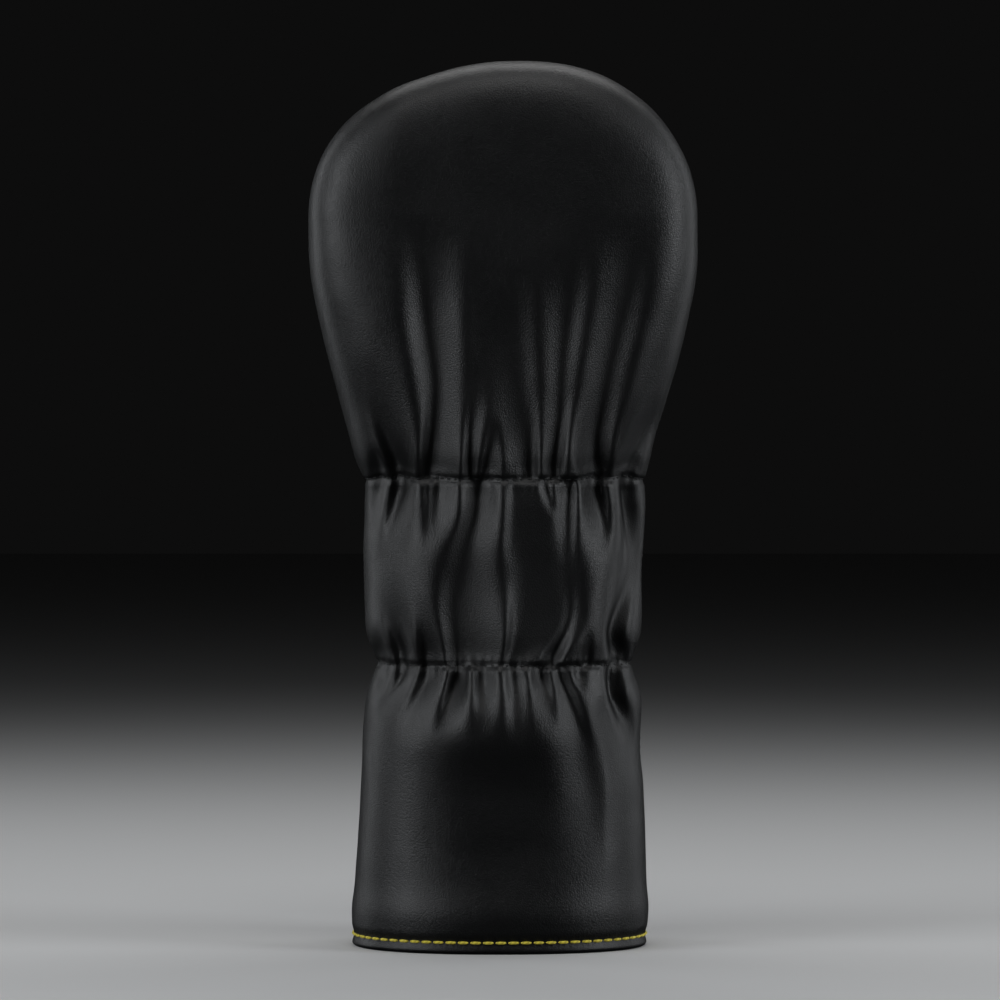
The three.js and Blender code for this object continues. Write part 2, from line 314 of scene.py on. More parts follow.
SKIRT_CREASES = (
    crease((102.6, -42.9, 2.4, 4), (97, -43.4, 1.8, 4), (89, -44.6, 0, 4)),
    crease((102.6, -35.6, 3.4, 7), (98, -37.7, 3.2, 8), (92, -40.6, 1.8, 9), (84, -43, 0, 10)),
    crease((102.6, -26.7, 3.2, 8), (95, -29.2, 2.6, 10), (86, -33, 1.2, 12), (74, -37, 0, 12)),
    crease((102.6, -15.7, 4.2, 6), (93, -18.2, 4.0, 7), (85, -20.6, 2.2, 8), (78, -22.5, 0, 9), steep=2.0),
    crease((102.6, -8.0, 3.4, 6), (92, -7.2, 2.8, 6), (85, -7.0, 1.4, 6), (76, -7, 0, 7), steep=2.4),
    crease((102.6, 3.9, 2.6, -5), (95, 4.6, 2.6, -5.5), (84, 5.1, 1.8, -6), (74, 5.5, 0, -7), steep=2.6),
    crease((102.6, 13.2, 4.0, 5), (96, 15.0, 3.4, 6), (87, 17.0, 2.0, 8), (76, 20, 0, 9), steep=2.6),
    crease((102.6, 19.2, 2.4, 3), (94, 22.9, 3.0, 6), (86, 25.9, 3.2, 8), (79, 28.2, 3.0, 10),
           (64, 32.0, 1.8, 12), (48, 34.0, 0.9, 14), (28, 34.8, 0, 14), steep=2.2),
    crease((102.6, 27.8, 1.8, 3), (98, 28.0, 1.2, 3), (93, 28.3, 0, 3), steep=1.2),
    crease((102.6, 38.0, 5.5, 1.4), (92, 39.4, 7.5, 1.4), (84, 41.6, 6.5, 1.4), (75, 44.2, 4, 1.4),
           (62, 46, 0, 1.4), steep=4.0),
    crease((92, 36.2, 0, 5), (84, 37.4, 1.2, 6), (69, 42.6, 1.2, 7), (58, 46, 0, 8), steep=2.0),
)

CREASE_DEPTH = 1.45  # the creases are this many times deeper than their listed depths
CRISP_BLUR = (0.75, 0.7)  # across and up, by the gather lines
SOFT_BLUR = (3.0, 4.0)  # across and up, far from them
CRISP_REACH, SOFTENING_REACH = 3, 28  # where the creases start to soften, and over what distance
LINE_HOLD = 0.22  # share of a crease's depth that the stitches take out of it
FOLD_MATT_DEPTH = 11.0  # depth of fold at which the leather is as matt as it gets
FOLD_MATT = 0.16  # roughness that it gains there
RELIEF_STEP = 0.25
RELIEF_X = np.arange(-76, 76 + RELIEF_STEP, RELIEF_STEP)
RELIEF_Z = np.arange(0, DOME_START + RELIEF_STEP, RELIEF_STEP)


def crease_depth(each, x, heights):
    """How far one crease lowers the leather, on a raster of places across by heights."""
    path, depth, ramp = (
        smooth_through(each.heights, values, heights)[:, None]
        for values in (each.places, each.depths, each.ramps)
    )
    ends = (heights > each.heights[0] - 0.3) & (heights < each.heights[-1] + 0.3)
    towards_middle = -np.sign(each.places[np.argmax(each.depths)]) * np.sign(ramp)
    along_ramp = (x[None, :] - path) * towards_middle
    away = np.clip(-along_ramp / (1.5 * each.steep), 0, 1)
    wall = 1 - away**1.6
    bend = np.clip(np.abs(ramp) / 8, 1.3, 2.4)
    slow = 1 - np.clip(along_ramp / np.abs(ramp), 0, 1) ** bend
    return np.where(along_ramp < 0, wall, slow) * depth * ends[:, None]


def blurred(raster, across, up):
    """The raster with soft edges, blurred by widths in millimetres."""
    for axis, width in ((0, up), (1, across)):
        reach = max(1, int(3 * width / RELIEF_STEP))
        kernel = bell(np.arange(-reach, reach + 1) * RELIEF_STEP, width * math.sqrt(2))
        kernel /= kernel.sum()
        spread = [(0, 0), (0, 0)]
        spread[axis] = (reach, reach)
        padded = np.pad(raster, spread, mode="edge")
        raster = sum(
            weight * np.take(padded, range(i, i + raster.shape[axis]), axis=axis)
            for i, weight in enumerate(kernel)
        )
    return raster


def crease_relief():
    """How far the creases lower the leather, on a raster, softer away from the gather lines."""
    relief = np.zeros((len(RELIEF_Z), len(RELIEF_X)))
    zones = (
        (HEAD_CREASES, UPPER_GATHER, 1e3),
        (MIDDLE_CREASES, LOWER_GATHER, UPPER_GATHER),
        (SKIRT_CREASES, -1e3, LOWER_GATHER),
    )
    for creases, low, high in zones:
        inside = (RELIEF_Z >= low) & (RELIEF_Z < high)
        heights = RELIEF_Z[inside]
        for each in creases:
            relief[inside] = np.maximum(relief[inside], crease_depth(each, RELIEF_X, heights))
    to_line = np.minimum(np.abs(RELIEF_Z - UPPER_GATHER), np.abs(RELIEF_Z - LOWER_GATHER))[:, None]
    held = 1 - LINE_HOLD * bell(to_line, 2.5)
    relief = relief * held * CREASE_DEPTH
    crisp, soft = blurred(relief, *CRISP_BLUR), blurred(relief, *SOFT_BLUR)
    softness = np.clip((to_line - CRISP_REACH) / SOFTENING_REACH, 0, 1)
    return crisp * (1 - softness) + soft * softness


RELIEF = crease_relief()


def crease_field(x, height):
    """The crease relief at places across the back, seen square on."""
    column = np.clip((x - RELIEF_X[0]) / RELIEF_STEP, 0, len(RELIEF_X) - 1.001)
    row = np.clip(height / RELIEF_STEP, 0, len(RELIEF_Z) - 1.001)
    i, j = row.astype(int), column.astype(int)
    a, b = row - i, column - j
    low = RELIEF[i, j] * (1 - b) + RELIEF[i, j + 1] * b
    high = RELIEF[i + 1, j] * (1 - b) + RELIEF[i + 1, j + 1] * b
    return low * (1 - a) + high * a


LINE_VALLEY = (1.3, 0.9)  # depth and reach
PUCKER_DEPTH, PUCKER_REACH = 0.2, 2.4


def line_field(x, height):
    """The valley along each gather line and the puckers beside it."""
    depth = np.zeros_like(x)
    for line in (UPPER_GATHER, LOWER_GATHER):
        off = height - line
        depth += LINE_VALLEY[0] * bell(off, LINE_VALLEY[1])
        wave = np.sin(x * 2.05 + 1.3 * np.sin(x * 0.31) + 0.7 * line)
        depth += PUCKER_DEPTH * (wave * np.exp(-np.abs(off) / PUCKER_REACH))
    return depth


SKIRT_FLAT_DEPTH = 3.6
SKIRT_FLAT_MIDDLE = 1  # across
SKIRT_FLAT_RIGHT, SKIRT_FLAT_LEFT = 36, 50  # how far it reaches to each side


def eased(share):
    """A share from 0 to 1 that starts and ends level."""
    share = np.clip(share, 0, 1)
    return share * share * (3 - 2 * share)


def skirt_field(x, height):
    """The flat that the skirt falls into, between the fullness above the hem and under the gather."""
    right = x > SKIRT_FLAT_MIDDLE
    reach = np.where(right, SKIRT_FLAT_RIGHT, SKIRT_FLAT_LEFT)
    off = np.clip((x - SKIRT_FLAT_MIDDLE) / reach, -1, 1)
    flat = SKIRT_FLAT_DEPTH * np.where(right, 1 - off**2, (1 - off**2) ** 2)
    hem_fullness = 0.7 * bell(height - 14, 6)
    gather_fullness = 2.6 * bell(height - 80, 13) * bell(x, 32)
    flat = flat * eased((height - 10) / 30) * eased((88 - height) / 34)
    return flat - hem_fullness - gather_fullness


def unevenness(points, size, seed):
    """Soft noise from -1 to 1 over points in millimetres."""
    place = Vector((seed * 17.3, seed * 5.1, seed * 9.7))
    flat = points.reshape(-1, 3)
    values = [noise.noise(Vector(point) / size + place) for point in flat]
    return np.array(values).reshape(points.shape[:-1])


UNEVEN_DEPTHS_AND_SIZES = ((0.35, 34.0), (0.12, 11.0))
FRONT_FADE = 0.3  # share of the half girth over which the gathers die out on the front
SINKING = (0.15, 1.0, 1.0)  # how much of each direction of the normals the creases follow


def displaced(half, across, up, inset=0.0):
    """Points of a layer at an inset, moved along the form's normals by the creases and the seams."""
    form = FORMS[half]
    across, up = np.broadcast_arrays(np.asarray(across, float), np.asarray(up, float))
    outer = form.points(across, up)
    normal = form.normals(across, up)
    x, height = outer[..., 0], outer[..., 2]
    side = np.maximum(np.abs(across), np.clip((up - DOME_START) / DOME_SPAN, 0, 1))
    lowered = crease_field(x, height) + line_field(x, height) + skirt_field(x, height)
    if half == FRONT:
        # The gathers die out a little way round from the side seams.
        lowered = lowered * np.clip((side - (1 - FRONT_FADE)) / FRONT_FADE, 0, 1) ** 2
    soft = sum(
        depth * unevenness(outer, size, seed)
        for seed, (depth, size) in enumerate(UNEVEN_DEPTHS_AND_SIZES, start=1)
    )
    # The creases sink mostly straight into the cover, so a fold by a side seam hides the one behind.
    sinking = normal * SINKING
    sinking /= np.maximum(np.linalg.norm(sinking, axis=-1, keepdims=True), 1e-12)
    moved = normal * soft[..., None] - sinking * lowered[..., None]
    return form.points(across, up, inset) + moved


# ---- grids over the form ----


def row_places(low, high, spacing):
    """Places up from low to high, closer together at the gathers and at the hem."""
    fine = np.linspace(low, high, 2000)
    near_lines = bell(fine - LOWER_GATHER, 11) + bell(fine - UPPER_GATHER, 11)
    step = spacing * (1 - 0.5 * np.clip(near_lines, 0, 1))
    step = np.where(fine < HEM_TURN_UP, np.minimum(step, 0.9), step)
    count = np.concatenate([[0], np.cumsum(np.diff(fine) / step[1:])])
    return np.interp(np.linspace(0, count[-1], int(count[-1]) + 1), count, fine)


def grid_piece(name, places, half, material):
    """A grid whose points lie at places, an array of rows of points in millimetres."""
    rows, columns = places.shape[:2]
    bm = bmesh.new()
    uv = bm.loops.layers.uv.new("UVMap")
    bmesh.ops.create_grid(bm, x_segments=columns - 1, y_segments=rows - 1, size=1.0, calc_uvs=True)
    bm.verts.ensure_lookup_table()
    for vert in bm.verts:
        column = round((vert.co.x + 1) / 2 * (columns - 1))
        row = round((vert.co.y + 1) / 2 * (rows - 1))
        vert.co = Vector(places[row, column]) * MM
    if half == FRONT:
        bmesh.ops.reverse_faces(bm, faces=bm.faces)
    for face in bm.faces:
        face.smooth = True
    return object_from(bm, name, material)


def object_from(bm, name, material):
    """A new object in the scene, made from a bmesh that is then freed."""
    mesh = bpy.data.meshes.new(name)
    bm.to_mesh(mesh)
    bm.free()
    mesh.materials.append(material)
    piece = bpy.data.objects.new(name, mesh)
    bpy.context.scene.collection.objects.link(piece)
    return piece


def mark_folds(piece):
    """Store how deep each point of the leather lies in a fold, from 0 to 1, where hands rub it less."""
    mesh = piece.data
    places = np.empty(3 * len(mesh.vertices))
    mesh.vertices.foreach_get("co", places)
    places = places.reshape(-1, 3) / MM
    deep = np.clip(crease_field(places[:, 0], places[:, 2]) / FOLD_MATT_DEPTH, 0, 1)
    mesh.attributes.new("fold", "FLOAT", "POINT").data.foreach_set("value", deep)


def give_thickness(piece, thickness):
    """A wall inwards from a grid, by a thickness in millimetres."""
    solid = piece.modifiers.new("Thickness", "SOLIDIFY")
    solid.thickness = thickness * MM
    solid.offset = -1.0
    solid.use_rim = True
    return piece


def leather_rows(spacing):
    """Rows of a panel: up the turned edge inside, round the rim and up the outside, as (up, inset)."""
    radius = HEM_THICKNESS / 2
    inside = [(up, HEM_THICKNESS) for up in np.linspace(HEM_TURN_UP, radius + 0.8, 8)]
    angles = np.linspace(0, math.pi, 9)
    rim = [(radius - radius * math.sin(a), radius + radius * math.cos(a)) for a in angles]
    outside = [(up, 0.0) for up in row_places(radius + 0.8, DOME_START, spacing)]
    dome = [(DOME_START + rise, 0.0) for rise in np.linspace(0, DOME_SPAN, 62)[1:]]
    return np.array(inside + rim + outside + dome)


def seam_roll(half, across, up):
    """How deep the leather rolls in at the side seams and over the crown."""
    side = np.maximum(np.abs(across), np.clip((up - DOME_START) / DOME_SPAN, 0, 1))
    half_girth = 64 + 32 * np.clip((up - UPPER_GATHER) / (DOME_START - UPPER_GATHER), 0, 1)
    from_edge = (1 - side) * half_girth
    inward = 1 - np.clip(from_edge / SEAM_ROLL, 0, 1)
    return SEAM_DEPTH * (1 - np.sqrt(1 - inward**2))


def panel_points(half, columns, spacing):
    """Points of a leather panel, rolled in at its seams and puckered by the hem stitches."""
    rows = leather_rows(spacing)
    across = np.linspace(-1, 1, columns)[None, :]
    up, inset = rows[:, :1], rows[:, 1:]
    points = displaced(half, across, up, inset)
    normal = FORMS[half].normals(*np.broadcast_arrays(across, up))
    outer_face = np.clip(1 - inset / HEM_THICKNESS, 0, 1)
    roll = seam_roll(half, across, up) * outer_face
    hem_pucker = 0.14 * np.cos(2 * math.pi * across * 33) * bell(up - HEM_STITCH, 1.6) * outer_face
    return points - normal * (roll + hem_pucker)[..., None]


def settings():
    return bpy.context.scene.head_cover


# ---- material helpers ----


def new_material(name):
    material = bpy.data.materials.new(name)
    material.use_nodes = True
    nodes = material.node_tree.nodes
    return material, nodes, material.node_tree.links, nodes["Principled BSDF"]


def new_group(name, inputs, outputs):
    """An empty shader node group with float inputs {name: default} and outputs {name: socket type}."""
    group = bpy.data.node_groups.new(name, "ShaderNodeTree")
    for label, default in inputs.items():
        socket = group.interface.new_socket(name=label, in_out="INPUT", socket_type="NodeSocketFloat")
        socket.default_value = default
    for label, kind in outputs.items():
        group.interface.new_socket(name=label, in_out="OUTPUT", socket_type=kind)
    start = group.nodes.new("NodeGroupInput")
    end = group.nodes.new("NodeGroupOutput")
    return group, start, end


def place_group(material_nodes, group, **values):
    node = material_nodes.new("ShaderNodeGroup")
    node.node_tree = group
    for label, value in values.items():
        node.inputs[label.replace("_", " ")].default_value = value
    return node


def math_node(nodes, links, operation, first, second=None, third=None):
    node = nodes.new("ShaderNodeMath")
    node.operation = operation
    for socket, value in zip(node.inputs, (first, second, third)):
        if isinstance(value, bpy.types.NodeSocket):
            links.new(value, socket)
        elif value is not None:
            socket.default_value = value
    return node.outputs[0]


def noise_node(nodes, links, vector, scale, detail=2.0, roughness=0.5):
    node = nodes.new("ShaderNodeTexNoise")
    node.inputs["Scale"].default_value = scale
    node.inputs["Detail"].default_value = detail
    node.inputs["Roughness"].default_value = roughness
    links.new(vector, node.inputs["Vector"])
    return node.outputs["Fac"]


def bump_with(nodes, links, shader, height, strength, distance):
    """Bump a shader's normal with a height, over a distance in metres."""
    bump = nodes.new("ShaderNodeBump")
    bump.inputs["Strength"].default_value = strength
    bump.inputs["Distance"].default_value = distance
    links.new(height, bump.inputs["Height"])
    links.new(bump.outputs["Normal"], shader.inputs["Normal"])


def color_with(nodes, links, shader, share, first, second):
    """Colour a shader from the first colour to the second by a share."""
    mix = nodes.new("ShaderNodeMixRGB")
    mix.inputs["Color1"].default_value = tuple(first) + (1.0,)
    mix.inputs["Color2"].default_value = tuple(second) + (1.0,)
    links.new(share, mix.inputs["Fac"])
    links.new(mix.outputs[0], shader.inputs["Base Color"])


def grain_group():
    """Leather grain: rounded pebbles with fine furrows between them, on object coordinates."""
    name = "Leather grain"
    if name in bpy.data.node_groups:
        return bpy.data.node_groups[name]
    outputs = {"Height": "NodeSocketFloat", "Furrows": "NodeSocketFloat", "Patches": "NodeSocketFloat"}
    group, start, end = new_group(name, {"Cells per metre": 1500.0, "Furrow": 0.5}, outputs)
    nodes, links = group.nodes, group.links
    coords = nodes.new("ShaderNodeTexCoord").outputs["Object"]
    wander = nodes.new("ShaderNodeTexNoise")
    wander.inputs["Scale"].default_value = 420.0
    wander.inputs["Detail"].default_value = 1.0
    links.new(coords, wander.inputs["Vector"])
    shifted = nodes.new("ShaderNodeVectorMath")
    shifted.operation = "MULTIPLY_ADD"
    links.new(wander.outputs["Color"], shifted.inputs[0])
    shifted.inputs[1].default_value = (0.0007, 0.0007, 0.0007)
    links.new(coords, shifted.inputs[2])
    pebbles = nodes.new("ShaderNodeTexVoronoi")
    pebbles.feature = "SMOOTH_F1"
    pebbles.inputs["Smoothness"].default_value = 0.35
    edges = nodes.new("ShaderNodeTexVoronoi")
    edges.feature = "DISTANCE_TO_EDGE"
    for cells in (pebbles, edges):
        links.new(shifted.outputs[0], cells.inputs["Vector"])
        links.new(start.outputs["Cells per metre"], cells.inputs["Scale"])
    furrow = nodes.new("ShaderNodeMapRange")
    furrow.inputs["From Max"].default_value = 0.16
    furrow.inputs["To Min"].default_value = 1.0
    furrow.inputs["To Max"].default_value = 0.0
    links.new(edges.outputs["Distance"], furrow.inputs["Value"])
    rounded = math_node(nodes, links, "SUBTRACT", 1.0, pebbles.outputs["Distance"])
    cut = math_node(nodes, links, "MULTIPLY", furrow.outputs[0], start.outputs["Furrow"])
    height = math_node(nodes, links, "SUBTRACT", rounded, cut)
    fine = noise_node(nodes, links, coords, 5200.0, 2.0)
    height = math_node(nodes, links, "MULTIPLY_ADD", fine, 0.22, height)
    links.new(height, end.inputs["Height"])
    # This mask also paints shade into the leather's colour, in the grooves between the pebbles.
    links.new(furrow.outputs[0], end.inputs["Furrows"])
    links.new(noise_node(nodes, links, coords, 60.0, 3.0, 0.6), end.inputs["Patches"])
    return group


def leather_material():
    s = settings()
    material, nodes, links, shader = new_material("Black pebbled leather")
    grain = place_group(nodes, grain_group(), Cells_per_metre=1.0 / s.grain_size, Furrow=0.55)
    # Painted shade: the leather's colour is darkened in the grain's grooves between the pebbles, where
    # shade falls.
    painted_shade_color = [0.45 * c for c in s.leather_color]
    color_with(nodes, links, shader, grain.outputs["Furrows"], s.leather_color, painted_shade_color)
    rough = nodes.new("ShaderNodeMapRange")
    rough.inputs["To Min"].default_value = s.leather_roughness - 0.05
    rough.inputs["To Max"].default_value = s.leather_roughness + 0.06
    links.new(grain.outputs["Patches"], rough.inputs["Value"])
    folds = nodes.new("ShaderNodeAttribute")
    folds.attribute_name = "fold"
    matt = math_node(nodes, links, "MULTIPLY", folds.outputs["Fac"], FOLD_MATT)
    links.new(math_node(nodes, links, "ADD", rough.outputs[0], matt), shader.inputs["Roughness"])
    shader.inputs["Specular IOR Level"].default_value = 0.5
    bump_with(nodes, links, shader, grain.outputs["Height"], 0.6, 0.00008)
    return material


def twist_group():
    """Twisted thread: ridges that wind along a stitch's own UV map, with fine fibres."""
    name = "Thread twist"
    if name in bpy.data.node_groups:
        return bpy.data.node_groups[name]
    outputs = {"Height": "NodeSocketFloat", "Shade": "NodeSocketFloat"}
    group, start, end = new_group(name, {"Turns": 5.0}, outputs)
    nodes, links = group.nodes, group.links
    uv = nodes.new("ShaderNodeUVMap")
    split = nodes.new("ShaderNodeSeparateXYZ")
    links.new(uv.outputs[0], split.inputs[0])
    along = math_node(nodes, links, "MULTIPLY", split.outputs["Y"], start.outputs["Turns"])
    wound = math_node(nodes, links, "ADD", along, split.outputs["X"])
    phase = math_node(nodes, links, "MULTIPLY", wound, 2 * math.pi)
    ridge = math_node(nodes, links, "SINE", phase)
    ridge = math_node(nodes, links, "MULTIPLY_ADD", ridge, 0.5, 0.5)
    coords = nodes.new("ShaderNodeTexCoord").outputs["Object"]
    fibres = noise_node(nodes, links, coords, 7000.0, 2.0)
    height = math_node(nodes, links, "MULTIPLY_ADD", fibres, 0.3, ridge)
    links.new(height, end.inputs["Height"])
    # This output paints shade into the thread's colour, dimmed in the grooves of the twist.
    links.new(ridge, end.inputs["Shade"])
    return group


def thread_material(name, color, roughness):
    material, nodes, links, shader = new_material(name)
    twist = place_group(nodes, twist_group(), Turns=4.0)
    # Painted shade: the thread's colour is dimmed in the grooves of its twist, where shade falls, and full
    # on the ridges.
    painted_shade_color = [0.62 * c for c in color]
    color_with(nodes, links, shader, twist.outputs["Shade"], painted_shade_color, color)
    shader.inputs["Roughness"].default_value = roughness
    bump_with(nodes, links, shader, twist.outputs["Height"], 0.5, 0.0001)
    return material


def black_thread():
    """The thread of the gathers and the seams, made once."""
    made = bpy.data.materials.get("Black thread")
    return made or thread_material("Black thread", (0.004, 0.004, 0.0042), 0.75)


def fibre_group():
    """Short fibres and clumps for napped and foamed surfaces, on object coordinates."""
    name = "Nap"
    if name in bpy.data.node_groups:
        return bpy.data.node_groups[name]
    outputs = {"Height": "NodeSocketFloat", "Clumps": "NodeSocketFloat"}
    group, start, end = new_group(name, {"Clump scale": 260.0, "Fibre scale": 2600.0}, outputs)
    nodes, links = group.nodes, group.links
    coords = nodes.new("ShaderNodeTexCoord").outputs["Object"]
    clumps = nodes.new("ShaderNodeTexNoise")
    clumps.inputs["Detail"].default_value = 3.0
    fibres = nodes.new("ShaderNodeTexNoise")
    fibres.inputs["Detail"].default_value = 4.0
    fibres.inputs["Roughness"].default_value = 0.7
    for node, label in ((clumps, "Clump scale"), (fibres, "Fibre scale")):
        links.new(coords, node.inputs["Vector"])
        links.new(start.outputs[label], node.inputs["Scale"])
    height = math_node(nodes, links, "MULTIPLY_ADD", clumps.outputs["Fac"], 1.6, fibres.outputs["Fac"])
    links.new(height, end.inputs["Height"])
    links.new(clumps.outputs["Fac"], end.inputs["Clumps"])
    return group


def soft_material(name, dark, light, sheen, distance, **scales):
    material, nodes, links, shader = new_material(name)
    nap = place_group(nodes, fibre_group(), **scales)
    color_with(nodes, links, shader, nap.outputs["Clumps"], dark, light)
    shader.inputs["Roughness"].default_value = 0.95
    shader.inputs["Sheen Weight"].default_value = sheen
    shader.inputs["Sheen Roughness"].default_value = 0.5
    bump_with(nodes, links, shader, nap.outputs["Height"], 0.8, distance)
    return material


def weave_group():
    """Two crossing sets of ribs on a piece's own UV map."""
    name = "Weave"
    if name in bpy.data.node_groups:
        return bpy.data.node_groups[name]
    outputs = {"Height": "NodeSocketFloat"}
    group, start, end = new_group(name, {"Ribs across": 120.0, "Ribs up": 200.0}, outputs)
    nodes, links = group.nodes, group.links
    uv = nodes.new("ShaderNodeUVMap")
    split = nodes.new("ShaderNodeSeparateXYZ")
    links.new(uv.outputs[0], split.inputs[0])
    waves = []
    for axis, label in (("X", "Ribs across"), ("Y", "Ribs up")):
        turns = math_node(nodes, links, "MULTIPLY", split.outputs[axis], start.outputs[label])
        phase = math_node(nodes, links, "MULTIPLY", turns, 2 * math.pi)
        waves.append(math_node(nodes, links, "SINE", phase))
    crossed = math_node(nodes, links, "MULTIPLY", waves[0], waves[1])
    height = math_node(nodes, links, "MULTIPLY_ADD", crossed, 0.5, 0.5)
    # The height also paints shade into the woven colour, dimmed at the low points of the weave.
    links.new(height, end.inputs["Height"])
    return group


def woven_material(name, color, ribs_across, ribs_up):
    material, nodes, links, shader = new_material(name)
    weave = place_group(nodes, weave_group(), Ribs_across=ribs_across, Ribs_up=ribs_up)
    # Painted shade: the woven colour is dimmed at the low points of the weave, where shade falls, by the
    # same height that bumps it.
    painted_shade_color = [0.5 * c for c in color]
    color_with(nodes, links, shader, weave.outputs["Height"], painted_shade_color, color)
    shader.inputs["Roughness"].default_value = 0.85
    shader.inputs["Sheen Weight"].default_value = 0.3
    bump_with(nodes, links, shader, weave.outputs["Height"], 0.6, 0.0002)
    return material


# ---- stitches ----


# A stitch: its length and radius, and how far it sinks into the leather, in radii.
Stitch = namedtuple("Stitch", "dash radius sink")
GATHER_STITCH = Stitch(2.3, 0.36, 0.9)
HEM_STITCH_SHAPE = Stitch(4.2, 0.52, 0.3)
SEAM_STITCH = Stitch(2.5, 0.36, 1.5)
SEAM_STITCH_PITCH = 3.4
SEAM_STITCH_EDGE = 0.93  # how far across the front half the seam's stitches lie


def stitch_row(name, route, pitch, stitch, material):
    """One solid per stitch along a route of (points, normals): short bowed lengths of thread whose ends
    dip into the leather."""
    dash, radius, sink = stitch
    points, normals = route
    steps = np.linalg.norm(np.diff(points, axis=0), axis=1)
    length = np.concatenate([[0], np.cumsum(steps)])
    count = max(1, round(length[-1] / pitch))
    pitch = length[-1] / count
    bm = bmesh.new()
    bm.loops.layers.uv.new("UVMap")
    for i in range(count):
        middle = (i + 0.5) * pitch
        spots = [middle - dash / 2, middle, middle + dash / 2]
        start, centre, end = (
            Vector([np.interp(spot, length, points[:, k]) for k in range(3)]) for spot in spots
        )
        out = Vector([np.interp(middle, length, normals[:, k]) for k in range(3)]).normalized()
        along = (end - start).normalized()
        out = (out - along * out.dot(along)).normalized()
        beside = along.cross(out)
        made = bmesh.ops.create_uvsphere(bm, u_segments=8, v_segments=7, radius=1.0, calc_uvs=True)
        for vert in made["verts"]:
            ring = vert.co.z
            run = math.copysign(abs(ring) ** 0.8, ring)
            dip = 1.5 * radius * run**4
            place = centre + along * (run * dash / 2)
            place += out * (vert.co.x * radius + radius * (1 - sink) - dip)
            place += beside * (vert.co.y * radius)
            vert.co = place * MM
    for face in bm.faces:
        face.smooth = True
    bmesh.ops.recalc_face_normals(bm, faces=bm.faces)
    return object_from(bm, name, material)


def surface_route(half, across, up, inset=0.0):
    """Points and normals on the leather."""
    across, up = np.broadcast_arrays(np.asarray(across, float), np.asarray(up, float))
    return displaced(half, across, up, inset), FORMS[half].normals(across, up)


def joined(*routes):
    return np.concatenate([r[0] for r in routes]), np.concatenate([r[1] for r in routes])


# ---- settings ----


class HeadCoverSettings(bpy.types.PropertyGroup):
    leather_color: bpy.props.FloatVectorProperty(
        name="Leather colour",
        description="Colour of the outer leather",
        default=(0.0048, 0.005, 0.0054),
        min=0.0,
        max=1.0,
        subtype="COLOR",
    )
    leather_roughness: bpy.props.FloatProperty(
        name="Leather roughness",
        description="How matt the outer leather is",
        default=0.39,
        min=0.0,
        max=1.0,
        subtype="FACTOR",
    )
    grain_size: bpy.props.FloatProperty(
        name="Grain size",
        description="Width of a pebble of the leather's grain",
        default=0.0007,
        min=0.0002,
        max=0.005,
        precision=5,
        subtype="DISTANCE",
    )
    hem_thread_color: bpy.props.FloatVectorProperty(
        name="Hem thread colour",
        description="Colour of the topstitch round the hem",
        default=(0.78, 0.65, 0.06),
        min=0.0,
        max=1.0,
        subtype="COLOR",
    )
    hem_stitch_pitch: bpy.props.FloatProperty(
        name="Hem stitch pitch",
        description="Distance from one hem stitch to the next",
        default=0.0045,
        min=0.002,
        max=0.01,
        precision=5,
        subtype="DISTANCE",
    )
    gather_stitch_pitch: bpy.props.FloatProperty(
        name="Gather stitch pitch",
        description="Distance from one gather stitch to the next",
        default=0.003,
        min=0.0015,
        max=0.01,
        precision=5,
        subtype="DISTANCE",
    )


# ---- operators ----


def finish_piece(piece, node):
    """Put a piece in place of its CAD node."""
    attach(piece, "root")
    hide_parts(node)


class HEADCOVER_OT_panels(bpy.types.Operator):
    """Sew up the two outer leather panels, with their turned hem and the gathers of the back."""

    bl_idname = "head_cover.panels"
    bl_label = "Leather Panels"

    def execute(self, context):
        material = leather_material()
        for half, side, columns, held in (
            (BACK, "back", 185, "gathered"),
            (FRONT, "front", 121, "stretched"),
        ):
            points = panel_points(half, columns, PANEL_ROW_SPACING)
            piece = grid_piece(f"{side}_leather", points, half, material)
            if half == BACK:
                mark_folds(piece)
            give_thickness(piece, LEATHER_PIECE)
            finish_piece(piece, f"{side}_panel")
        return {"FINISHED"}


def layer_piece(name, half, low, high, inset, thickness, material, spacing=3.0):
    """A padding or lining layer from one height to another, or over the dome where high is None."""
    rows = row_places(low, DOME_START if high is None else high, spacing)
    if high is None:
        rows = np.concatenate([rows, DOME_START + np.linspace(0, DOME_SPAN, 34)[1:]])
    across = np.linspace(-1, 1, LAYER_COLUMNS)[None, :]
    piece = grid_piece(name, displaced(half, across, rows[:, None], inset), half, material)
    return give_thickness(piece, thickness)


class HEADCOVER_OT_padding(bpy.types.Operator):
    """Lay the foam padding inside the head."""

    bl_idname = "head_cover.padding"
    bl_label = "Foam Padding"

    def execute(self, context):
        material = soft_material(
            "Grey foam", (0.03, 0.031, 0.034), (0.07, 0.072, 0.078), 0.1, 0.0004,
            Clump_scale=900.0, Fibre_scale=3000.0,
        )
        for half, side in ((BACK, "back"), (FRONT, "front")):
            name = f"{side}_foam_pad"
            piece = layer_piece(name, half, PADDING_START, None, FOAM_INSET, FOAM, material)
            finish_piece(piece, f"{side}_foam")
        return {"FINISHED"}


